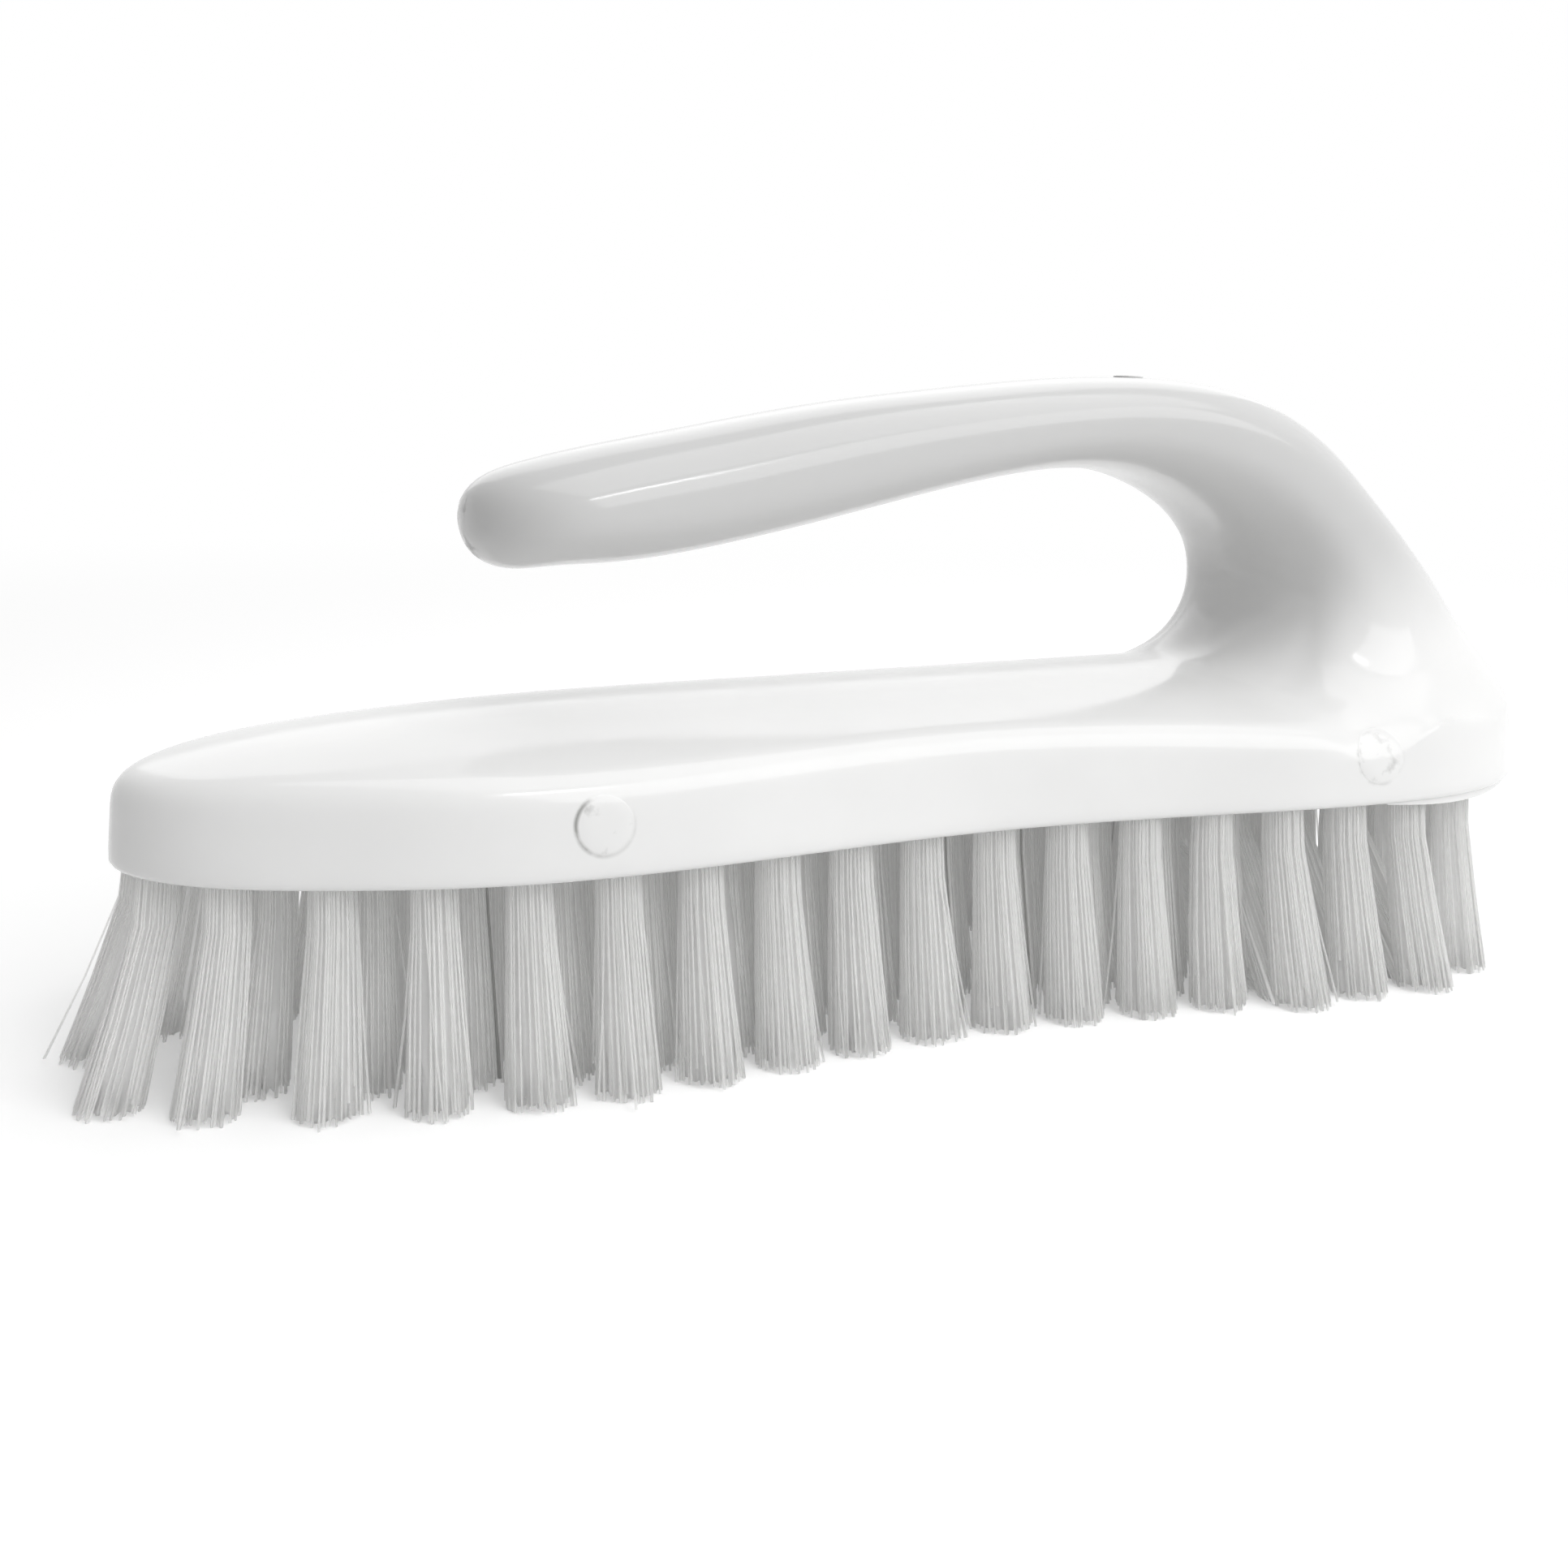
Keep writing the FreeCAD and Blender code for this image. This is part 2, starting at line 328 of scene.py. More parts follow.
# evens out the skin where the crown's edge runs out into the flare
def easeHeel(rings, around, chainCount):
    low, full, done, high = turnsOf("easeTurns")
    beside = smooth((around - low) / (full - low)) * smooth((high - around) / (high - done))
    first, past = moulding["easeRings"]
    last = chainCount + past
    skin = np.array(rings[first:last + 1])
    depth = np.sin(math.pi * np.linspace(0, 1, len(skin)))[:, None, None]
    share = moulding["easeShare"] * beside[None, :, None] * depth ** moulding["easePower"]
    for _ in range(moulding["easeSteps"]):
        mean = (np.roll(skin, 1, axis=1) + np.roll(skin, -1, axis=1)) / 4
        mean[1:-1] += (skin[:-2] + skin[2:]) / 4
        skin[1:-1] += (mean - skin)[1:-1] * share[1:-1]
    return rings[:first] + list(skin) + rings[last + 1:]


def mouldingRings():
    loop = outlineLoop()
    normal = outward(loop)
    count = len(loop)
    plateau = underside + moulding["thickness"]
    rings = [np.column_stack([loop, np.full(count, underside)])]
    rise = np.full(count, underside + moulding["midWall"] * moulding["thickness"])
    rings.append(np.column_stack([loop - normal * wallInset(rise)[:, None], rise]))
    # top edge, rounded from the wall to the crown
    rise = crownHeight(loop)
    for _ in range(moulding["topEdgePasses"]):
        topEdge = loop - normal * wallInset(rise)[:, None]
        rise = crownHeight(topEdge)
    corner = np.column_stack([topEdge, rise])
    turns = ringTurns()
    around = np.minimum(turns, 2 * math.pi - turns)
    side, heel = moulding["topEdgeReach"]
    start, over = moulding["topEdgeSpan"]
    reach = (side + (heel - side) * np.clip((around - start) / over, 0, 1))[:, None]
    upWall = np.column_stack([-normal * math.tan(math.radians(moulding["wallDraftDeg"])), np.ones(count)])
    inner = topEdge - normal * reach
    inner = np.column_stack([inner, crownHeight(inner)])
    chain = [
        bezier(t, corner - upWall * reach, corner, inner) for t in np.linspace(0, 1, moulding["edgeRings"])]
    # foot of the leg, with its root rounded into the crown
    legShares = np.linspace(0, moulding["legShare"], moulding["legSteps"])
    lines = handleRings(legShares)
    front, side, back = moulding["rootRadius"]
    facing, power = np.cos(turns), moulding["rootPower"]
    radius = side + (front - side) * np.maximum(facing, 0) ** power + (
        back - side) * np.maximum(-facing, 0) ** power
    base, _ = legAt(lines, legShares, np.full(count, plateau))
    away = outward(base[:, :2])
    radius = np.minimum(radius, nearest(base[:, :2], topEdge) - reach[:, 0] - moulding["rootClear"])
    root = []
    for t in np.linspace(0, 1, moulding["rootRings"]):
        out = radius * (1 - math.sin(t * math.pi / 2))
        up = radius * (1 - math.cos(t * math.pi / 2))
        height = plateau + up
        for _ in range(moulding["rootPasses"]):
            spot, found = legAt(lines, legShares, height)
            plan = spot[:, :2] + away * out[:, None]
            height = crownHeight(plan) + up
        root.append(np.column_stack([plan, height]))
    # crown, from just inside the top edge to the rounded root
    for t in np.linspace(0, 1, moulding["crownRings"] + 1, endpoint=False)[1:]:
        plan = inner[:, :2] + (root[0][:, :2] - inner[:, :2]) * t
        chain.append(np.column_stack([plan, crownHeight(plan)]))
    chain += root
    # round the back, the leg flares straight into the heel's wall
    low, full, high = turnsOf("heelFlareTurns")
    share = smooth((around - low) / (full - low))[:, None]
    grown = smooth((around - low) / (high - low))
    flareFrom, flareTo, flareUp, flareDown = (
        a + (b - a) * grown for a, b in (moulding["heelFlare" + k] for k in ("From", "To", "Up", "Down")))
    wallHeight = underside + flareFrom
    wallSpot = np.column_stack([loop - normal * wallInset(wallHeight)[:, None], wallHeight])
    flareTop = plateau + flareTo
    legSpot, flareFound = legAt(lines, legShares, flareTop)
    downLeg = legAt(lines, legShares, flareTop - moulding["flareStep"])[0] - legSpot
    downLeg /= np.linalg.norm(downLeg, axis=1)[:, None]
    leave, arrive = wallSpot + upWall * flareUp[:, None], legSpot + downLeg * flareDown[:, None]
    for k, t in enumerate(np.linspace(0, 1, len(chain))):
        flare = bezier(t, wallSpot, leave, arrive, legSpot)
        rings.append(chain[k] + (flare - chain[k]) * share)
    found = found + (flareFound - found) * share[:, 0]
    # leg, from the top of the root to the first full section, then along the grip to the nose
    knots = chordKnots(np.array(moulding["handleStations"])[:, :4])
    start = knots[moulding["fullStation"]] / knots[-1] + moulding["fullPast"]
    for t in np.linspace(0, 1, moulding["legRings"] + 1)[1:]:
        rings.append(alongLeg(lines, legShares, found + (start - found) * t))
    rings += list(handleRings(np.linspace(start, 1, moulding["gripRings"])[1:]))
    return easeHeel(rings, around, len(chain))


def placeRing(piece, order, ring):
    places = coordinates(piece)
    places[order] = ring
    moveTo(piece, places)


def edgeLoop(piece, places):
    sameSpot = 1e-12
    inside = [np.min(np.sum((places - spot) ** 2, axis=1)) < sameSpot for spot in coordinates(piece)]
    for edge in piece.data.edges:
        edge.select = all(inside[v] for v in edge.vertices)


# a flat outline drawn through a row of rings, each one extruded from the last and then put in place
def drawRings(name, rings, pointed=False):
    pick()
    count = len(rings[0])
    bpy.ops.mesh.primitive_circle_add(vertices=count, radius=1, fill_type="NGON")
    piece = bpy.context.object
    piece.name = name
    order = np.arange(count)
    placeRing(piece, order, rings[0])
    for ring in rings[1:]:
        bpy.ops.object.mode_set(mode="EDIT")
        bpy.ops.mesh.extrude_region_move()
        bpy.ops.object.mode_set(mode="OBJECT")
        before = {tuple(p): j for j, p in enumerate(coordinates(piece)[order])}
        fresh = [v.index for v in piece.data.vertices if v.select]
        newOrder = np.empty(count, int)
        for index in fresh:
            newOrder[before[tuple(np.array(piece.data.vertices[index].co, float))]] = index
        order = newOrder
        placeRing(piece, order, ring)
    bpy.ops.object.mode_set(mode="EDIT")
    if pointed:
        bpy.ops.mesh.merge(type="CENTER")
    bpy.ops.mesh.select_all(action="SELECT")
    bpy.ops.mesh.normals_make_consistent(inside=False)
    bpy.ops.object.mode_set(mode="OBJECT")
    return piece


def selectNone(kind):
    bpy.ops.object.mode_set(mode="EDIT")
    bpy.ops.mesh.select_mode(type=kind)
    bpy.ops.mesh.select_all(action="DESELECT")
    bpy.ops.object.mode_set(mode="OBJECT")


def makeMoulding():
    rings = mouldingRings()
    piece = drawRings("brushMoulding", rings, pointed=True)
    selectNone("EDGE")
    edgeLoop(piece, rings[0])
    bpy.ops.object.mode_set(mode="EDIT")
    bpy.ops.mesh.bevel(
        offset=moulding["rimBevel"], segments=moulding["rimSegments"], profile=0.5, affect="EDGES")
    bpy.ops.object.mode_set(mode="OBJECT")
    applyModifier(piece, "SUBSURF", levels=1, render_levels=1)
    pick(piece)
    bpy.ops.object.shade_smooth()
    return piece


# the stub where the plastic ran in, on the crest of the grip
gate = {
    "along": 0.0349,
    "radius": 0.0019,
    "proud": 0.00022,
    "sunk": 0.0012,
    "points": 28,
    "crest": (0.3, 0.8, 200),  # shares of the way to the nose between which it is sought, steps
    # share of the radius, share of what stands proud
    "profile": [(1, 0.6), (0.9, 1), (0.62, 1), (0.52, 0.3), (0.2, 0.2)],
}


def makeGate():
    crest = handleRings(np.linspace(*gate["crest"]))[:, moulding["ringPoints"] // 2]
    at = np.argmin(np.abs(crest[:, 0] - gate["along"]))
    along = Vector(crest[at + 1] - crest[at - 1]).normalized()
    across = Vector((0, 1, 0))
    up = along.cross(across)
    up = up if up.z > 0 else -up
    turn = np.linspace(0, 2 * math.pi, gate["points"], endpoint=False)
    circle = np.outer(np.cos(turn), along) + np.outer(np.sin(turn), across)
    levels = [(1, -gate["sunk"])] + [(share, rise * gate["proud"]) for share, rise in gate["profile"]]
    return drawRings("gate", [
        crest[at] + circle * share * gate["radius"] + np.array(up) * height for share, height in levels])


# the prints of two mould pins, a hair proud of the near wall
pins = {
    # x, height above the underside, radius
    "places": [(-0.0459, 0.0059, 0.0032), (0.0547, 0.0062, 0.0034)],
    "proud": 0.00008,
    "sunk": 0.0010,
    "points": 40,
    # share of the radius, share of what stands proud
    "profile": [(1, 0.3), (0.94, 1), (0.6, 1), (0.2, 1)],
}


# where the near wall stands, met from in front of it
def nearWall(x, height):
    return brushMoulding.ray_cast((x, -2 * moulding["heelHalfWidth"], height), (0, 1, 0))[1].y


def makePin(x, height, radius):
    turn = np.linspace(0, 2 * math.pi, pins["points"], endpoint=False)
    levels = [(1, -pins["sunk"])] + [(share, rise * pins["proud"]) for share, rise in pins["profile"]]
    rings = []
    for share, out in levels:
        along = x + np.cos(turn) * share * radius
        up = underside + height + np.sin(turn) * share * radius
        wall = np.array([nearWall(*spot) for spot in zip(along, up)])
        rings.append(np.column_stack([along, wall - out, up]))
    return drawRings("pin", rings)


# a sliver of flash under the rim, on the near side of the heel
flash = {
    "from": 0.0560,
    "to": 0.0850,
    "hang": 0.0008,
    "rise": 0.0012,
    "thick": 0.00028,
    "inset": 0.0009,
}


def makeFlash():
    loop = outlineLoop()
    normal = outward(loop)
    top = underside + flash["rise"]
    rings = []
    for spot, out in zip(loop, normal):
        if spot[1] < 0 and flash["from"] < spot[0] < flash["to"]:
            share = (spot[0] - flash["from"]) / (flash["to"] - flash["from"])
            bottom = underside - flash["hang"] * math.sin(math.pi * share)
            outer, inner = spot - out * flash["inset"], spot - out * (flash["inset"] + flash["thick"])
            rings.append(np.array([(*outer, top), (*outer, bottom), (*inner, bottom), (*inner, top)]))
    return drawRings("flash", rings)


def joinInto(piece, extra):
    applyModifier(piece, "BOOLEAN", object=extra, operation="UNION", solver="EXACT")
    discard(extra)


brushMoulding = makeMoulding()
for extra in (makeGate(), makeFlash(), *(makePin(*place) for place in pins["places"])):
    joinInto(brushMoulding, extra)
print("moulding drawn:", len(brushMoulding.data.polygons), "faces")


# the tufts: filaments gathered in a few bundles, then copied to the places of the solids

tuft = {
    "variants": 6,
    "filaments": 46,  # loose ones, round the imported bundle
    "looseReach": (1.04, 0.06),  # of the bundle's reach: least, and how much more
    "sides": 4,
    "bends": 3,
    "filamentRadius": 0.00014,
    "rootRadius": 0.00210,
    "tipRadius": 0.00325,
    "reachPower": 1.1,
    "rootDepth": 0.0045,
    "wander": 0.00008,
    "strayShare": 0.12,
    "strayReach": 0.0011,
    "strayPower": 1.6,
    "splayPower": 1.15,
    "shortShare": 0.22,
    "shortMost": 0.0050,
    "unevenEnd": 0.00035,
    "burrShare": 0.3,  # cut ends that spread a little
    "burr": 1.5,
    "atTip": 1e-6,
    "goldenTurn": 2.39996,
    "anyTurn": 6.28,
    "ridges": 42,
    "valley": 0.94,
    "ridgeWander": 0.03,
    "ridgeTones": (0.02, 1),
    # painted shade in the valleys between the ridges
    "valleyShade": 0.25,
    "packedEnd": 0.0004,
    "packedLevels": (1, 0.75, 0.5, 0.25, 0),  # of the trim
    "packedCaps": [(0.72, 7), (0.40, 23)],  # share of the reach, points by which the ends are shifted
    "capRelief": 1.2,
    "toeReach": 0.0014,
    "levelSpan": 0.002,  # of a solid's points that belong to one end
    "apart": 0.002,  # least gap between two tufts' points in a row
    "smoothDeg": 95,
}
tuftNodes = sorted(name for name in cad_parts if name.startswith("tuft_row_"))


# the middle of each group of points along y
def middles(points):
    order = np.argsort(points[:, 1])
    breaks = np.where(np.diff(points[order, 1]) > tuft["apart"])[0] + 1
    groups = [points[part] for part in np.split(order, breaks)]
    return [(group.min(axis=0) + group.max(axis=0)) / 2 for group in groups]


# tip and root centres of each tuft in a row, from its solid
def tuftPlaces(name):
    points = np.array([v.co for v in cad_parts[name].data.vertices])
    tips = points[points[:, 2] < tuft["levelSpan"]]
    roots = points[np.abs(points[:, 2] - underside) < tuft["levelSpan"]]
    return list(zip(middles(tips), middles(roots)))


def makeFilament():
    pick()
    bpy.ops.mesh.primitive_circle_add(
        vertices=tuft["sides"], radius=tuft["filamentRadius"], fill_type="NGON", location=(0, 0, 0))
    piece = bpy.context.object
    piece.name = "filament"
    step = (underside + tuft["rootDepth"]) / tuft["bends"]
    bpy.ops.object.mode_set(mode="EDIT")
    for _ in range(tuft["bends"]):
        bpy.ops.mesh.extrude_region_move(TRANSFORM_OT_translate={"value": (0, 0, step)})
    bpy.ops.mesh.select_all(action="SELECT")
    bpy.ops.mesh.normals_make_consistent(inside=False)
    bpy.ops.object.mode_set(mode="OBJECT")
    return piece


# 0 at the underside and above it, 1 on the floor
def lowness(height):
    return np.clip(1 - height / underside, 0, 1)


def bundleReach(low):
    return tuft["rootRadius"] + (tuft["tipRadius"] - tuft["rootRadius"]) * low ** tuft["reachPower"]


def turned(shape, angle):
    return np.stack([
        shape[:, 0] * math.cos(angle) - shape[:, 1] * math.sin(angle),
        shape[:, 0] * math.sin(angle) + shape[:, 1] * math.cos(angle)], axis=1)


# the tone of each strand for the material; in the packed bundle its valleys carry painted shade
def keepShade(piece, shades):
    attribute = piece.data.attributes.new("strand", "FLOAT", "POINT")
    attribute.data.foreach_set("value", np.asarray(shades, np.float32))


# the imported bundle: filaments that touch, each one on the outside a ridge with an end of its own
def makePacked():
    ridges = tuft["ridges"]
    points = 2 * ridges
    turn = np.linspace(0, 2 * math.pi, points, endpoint=False)
    isRidge = np.arange(points) % 2 == 0
    profile = np.where(isRidge, 1, tuft["valley"])
    wander = np.repeat(dice.normal(0, tuft["ridgeWander"], ridges), 2)
    short = np.abs(dice.normal(0, tuft["unevenEnd"], ridges))
    short += (dice.random(ridges) < tuft["shortShare"]) * dice.random(ridges) ** 2 * tuft["shortMost"]
    ends = tuft["packedEnd"] + np.repeat(short, 2)
    levels = [(1, underside + tuft["rootDepth"], 0)]
    levels += [(1, part * underside, 0) for part in tuft["packedLevels"]]
    levels += [(share, 0, shift) for share, shift in tuft["packedCaps"]]
    rings = []
    for share, height, shift in levels:
        level = np.maximum(np.full(points, height), np.roll(ends, shift))
        low = lowness(level)
        relief = 1 + (profile - 1) * min(1, share * tuft["capRelief"])
        across = bundleReach(low) * relief * (1 + wander * low) * share
        rings.append(np.column_stack([across * np.cos(turn), across * np.sin(turn), level]))
    packed = drawRings("packed", rings)
    places = coordinates(packed)
    at = np.round(np.arctan2(places[:, 1], places[:, 0]) / (2 * math.pi) * points).astype(int) % points
    # random tones on the ridges, painted shade in the valleys between them
    tonesAndValleyShade = np.where(isRidge, np.repeat(dice.uniform(*tuft["ridgeTones"], ridges), 2), tuft["valleyShade"])
    keepShade(packed, tonesAndValleyShade[at])
    return packed


# one bundle, upright, its root centre on the z axis
def makeBundle(filament, number):
    straight = coordinates(filament)
    top = underside + tuft["rootDepth"]
    least, more = tuft["looseReach"]
    copies = [makePacked()]
    for i in range(tuft["filaments"]):
        spread = least + more * dice.random()
        angle = i * tuft["goldenTurn"] + number
        shape = straight.copy()
        end = abs(dice.normal(0, tuft["unevenEnd"]))
        if dice.random() < tuft["shortShare"]:
            end += dice.random() ** 2 * tuft["shortMost"]
        shape[:, 2] = end + straight[:, 2] * (top - end) / top
        low = lowness(shape[:, 2])
        if dice.random() < tuft["burrShare"]:
            shape[straight[:, 2] < tuft["atTip"], :2] *= tuft["burr"]
        lean = dice.normal(0, tuft["wander"], 2)
        if dice.random() < tuft["strayShare"]:
            lean = dice.normal(0, tuft["strayReach"], 2)
        bow = dice.normal(0, tuft["wander"], 2)
        twist = dice.random() * tuft["anyTurn"]
        out, stray, arch = bundleReach(low) * spread, low ** tuft["strayPower"], np.sin(low * math.pi)
        centre = np.stack([
            out * math.cos(angle) + lean[0] * stray + bow[0] * arch,
            out * math.sin(angle) + lean[1] * stray + bow[1] * arch], axis=1)
        shape[:, :2] = turned(shape, twist) + centre
        copy = copyOf(filament)
        moveTo(copy, shape)
        keepShade(copy, np.full(len(low), dice.random()))
        copies.append(copy)
    pick(*copies)
    bpy.ops.object.join()
    bundle = bpy.context.object
    bundle.name = "bundle%d" % number
    return bundle


def makeTuftRow(name, bundles):
    copies = []
    for tip, root in tuftPlaces(name):
        copy = copyOf(bundles[dice.integers(len(bundles))])
        shape = coordinates(copy)
        if name == tuftNodes[0]:
            tip = tip - np.array([tuft["toeReach"], 0, 0])
        angle = dice.random() * tuft["anyTurn"]
        splay = lowness(shape[:, 2])[:, None] ** tuft["splayPower"]
        shape[:, :2] = turned(shape, angle) + root[:2] + (tip - root)[:2] * splay
        moveTo(copy, shape)
        copies.append(copy)
    pick(*copies)
    if len(copies) > 1:
        bpy.ops.object.join()
    row = bpy.context.object
    row.name = "tuftRow" + name[-2:]
    bpy.ops.object.shade_smooth_by_angle(angle=math.radians(tuft["smoothDeg"]))
    return row


filament = makeFilament()
bundles = [makeBundle(filament, number) for number in range(tuft["variants"])]
tuftRows = {name: makeTuftRow(name, bundles) for name in tuftNodes}
discard(filament, *bundles)
print("tufts set:", sum(len(row.data.polygons) for row in tuftRows.values()), "faces")


# holes for the tufts in the underside

holes = {
    "radius": 0.00228,
    "depth": 0.0065,
    "sides": 14,
    "lip": 0.002,
    "facingDown": -0.9999,
    "levelSlack": 1e-5,
    "dissolveDeg": 0.5,
}


def cutHoles(piece):
    pick(piece)
    selectNone("FACE")
    for face in piece.data.polygons:
        level = abs(face.center.z - underside) < holes["levelSlack"]
        face.select = face.normal.z < holes["facingDown"] and level
    bpy.ops.object.mode_set(mode="EDIT")
    bpy.ops.mesh.dissolve_limited(angle_limit=math.radians(holes["dissolveDeg"]))
    bpy.ops.object.mode_set(mode="OBJECT")
    pick()
    drills = []
    for name in tuftNodes:
        for _, root in tuftPlaces(name):
            bpy.ops.mesh.primitive_cylinder_add(
                vertices=holes["sides"], radius=holes["radius"], depth=holes["depth"] + holes["lip"],
                location=(root[0], root[1], underside + (holes["depth"] - holes["lip"]) / 2))
            drills.append(bpy.context.object)
    pick(*drills)
    bpy.ops.object.join()
    drill = bpy.context.object
    applyModifier(piece, "BOOLEAN", object=drill, operation="DIFFERENCE", solver="EXACT")
    discard(drill)
    pick(piece)
    bpy.ops.object.shade_smooth_by_angle(angle=math.radians(moulding["smoothDeg"]))


cutHoles(brushMoulding)
print("holes cut:", len(brushMoulding.data.polygons), "faces")


# materials

def newMaterial(name):
    material = bpy.data.materials.new(name)
    material.use_nodes = True
    tree = material.node_tree
    return material, tree, tree.nodes["Principled BSDF"]


def addNode(tree, kind, **settings):
    node = tree.nodes.new(kind)
    for name, value in settings.items():
        setattr(node, name, value)
    return node


# links a socket, or writes a value
def feed(tree, given, socket):
    if isinstance(given, bpy.types.NodeSocket):
        tree.links.new(given, socket)
    else:
        socket.default_value = given


def feedAll(tree, values, sockets):
    for given, socket in zip(values, sockets):
        feed(tree, given, socket)


def addMath(tree, operation, *values):
    node = addNode(tree, "ShaderNodeMath", operation=operation)
    feedAll(tree, values, node.inputs)
    return node.outputs[0]


def addVector(tree, operation, *values):
    node = addNode(tree, "ShaderNodeVectorMath", operation=operation)
    feedAll(tree, values, node.inputs)
    return node.outputs["Value" if operation in ("LENGTH", "DOT_PRODUCT") else "Vector"]


def addRange(tree, value, fromSpan, toSpan=(0.0, 1.0), curve="SMOOTHSTEP"):
    node = addNode(tree, "ShaderNodeMapRange", interpolation_type=curve)
    labels = ("Value", "From Min", "From Max", "To Min", "To Max")
    feedAll(tree, (value, *fromSpan, *toSpan), [node.inputs[label] for label in labels])
    return node.outputs["Result"]


def addBlend(tree, share, first, second):
    node = addNode(tree, "ShaderNodeMix", data_type="RGBA")
    feedAll(tree, (share, first, second), [node.inputs[label] for label in ("Factor", "A", "B")])
    return node.outputs["Result"]


def addSplit(tree, place):
    node = addNode(tree, "ShaderNodeSeparateXYZ")
    feed(tree, place, node.inputs[0])
    return node.outputs


def addPlace(tree, kind="Object"):
    return addNode(tree, "ShaderNodeTexCoord").outputs[kind]


def newGroup(name, vectors, numbers, results):
    group = bpy.data.node_groups.new(name, "ShaderNodeTree")
    for label in vectors:
        group.interface.new_socket(label, in_out="INPUT", socket_type="NodeSocketVector")
    for label in numbers:
        group.interface.new_socket(label, in_out="INPUT", socket_type="NodeSocketFloat")
    for label in results:
        group.interface.new_socket(label, in_out="OUTPUT", socket_type="NodeSocketFloat")
    given = addNode(group, "NodeGroupInput").outputs
    return group, given, addNode(group, "NodeGroupOutput").inputs


fading = (1.0, 0.0)
mottleDetail = 3.0


# soft mottle, as in any moulded or drawn polymer: a mask from 0 to 1
def makeMottle():
    group, given, out = newGroup("mottle", ["Place"], ["Scale", "Low", "High"], ["Mask"])
    noise = addNode(group, "ShaderNodeTexNoise")
    feed(group, mottleDetail, noise.inputs["Detail"])
    feed(group, given["Place"], noise.inputs["Vector"])
    feed(group, given["Scale"], noise.inputs["Scale"])
    mask = addRange(group, noise.outputs["Fac"], (given["Low"], given["High"]), curve="LINEAR")
    feed(group, mask, out["Mask"])
    return group


printLook = {
    # painted shade on the rim, heavier on the toe's side: its weight, from the toe's side of the print
    # across it in radii
    "shadedSideFrom": (-1.0, 0.3),
    "shadedSideTo": (1.0, 0.22),
    "discEdge": (-0.0003, 0.0001),
}


# the print of a round mould pin: its rim line, with painted shade heavier on the toe's side, and the disc
# inside it
def makePinPrint():
    group, given, out = newGroup("pinPrint", ["Place", "Centre"], ["Radius", "Line"], ["Rim", "Disc"])
    offset = addVector(group, "SUBTRACT", given["Place"], given["Centre"])
    past = addMath(group, "SUBTRACT", addVector(group, "LENGTH", offset), given["Radius"])
    line = addRange(group, addMath(group, "ABSOLUTE", past), (0.0, given["Line"]), fading)
    share = addMath(group, "DIVIDE", addSplit(group, offset)["X"], given["Radius"])
    # painted shade: the rim line darkened more on the toe's side
    shadedSide = addRange(group, share, printLook["shadedSideFrom"], printLook["shadedSideTo"])
    feed(group, addMath(group, "MULTIPLY", line, shadedSide), out["Rim"])
    feed(group, addRange(group, past, printLook["discEdge"], fading), out["Disc"])
    return group


mottle = makeMottle()
pinPrint = makePinPrint()


def addMottle(tree, place, scale, low=0.3, high=0.7):
    node = addNode(tree, "ShaderNodeGroup", node_tree=mottle)
    feedAll(tree, (place, scale, low, high), [node.inputs[k] for k in ("Place", "Scale", "Low", "High")])
    return node.outputs["Mask"]


glossPlastic = {
    "pale": (0.91, 0.91, 0.905, 1),
    "dull": (0.87, 0.87, 0.865, 1),
    "toneScale": 45.0,
    "grip": (0.65, 0.65, 0.647, 1),  # painted shade: the grip painted greyer than the block, though it is the same plastic
    "gripFrom": (0.040, 0.058),
    "roughness": (0.09, 0.17),
    "sheenScale": 220.0,
    # also the colour of the painted shade on the pin print rims
    "scuffAndShade": (0.40, 0.40, 0.39, 1),
    "rimLine": 0.00042,
    "rimMottle": (330.0, 0.40, 0.60),  # scale, low, high
    "dirtMottle": (650.0, 0.56, 1.05),
    "speckSpacing": 62.0,
    "speckSize": (0.010, 0.020),
    "speckLimit": 0.6,  # only cells above this have one
    "bumpScale": 90.0,
    "bumpStrength": 0.05,
    "bumpDistance": 0.0003,
    "ior": 1.42,
}


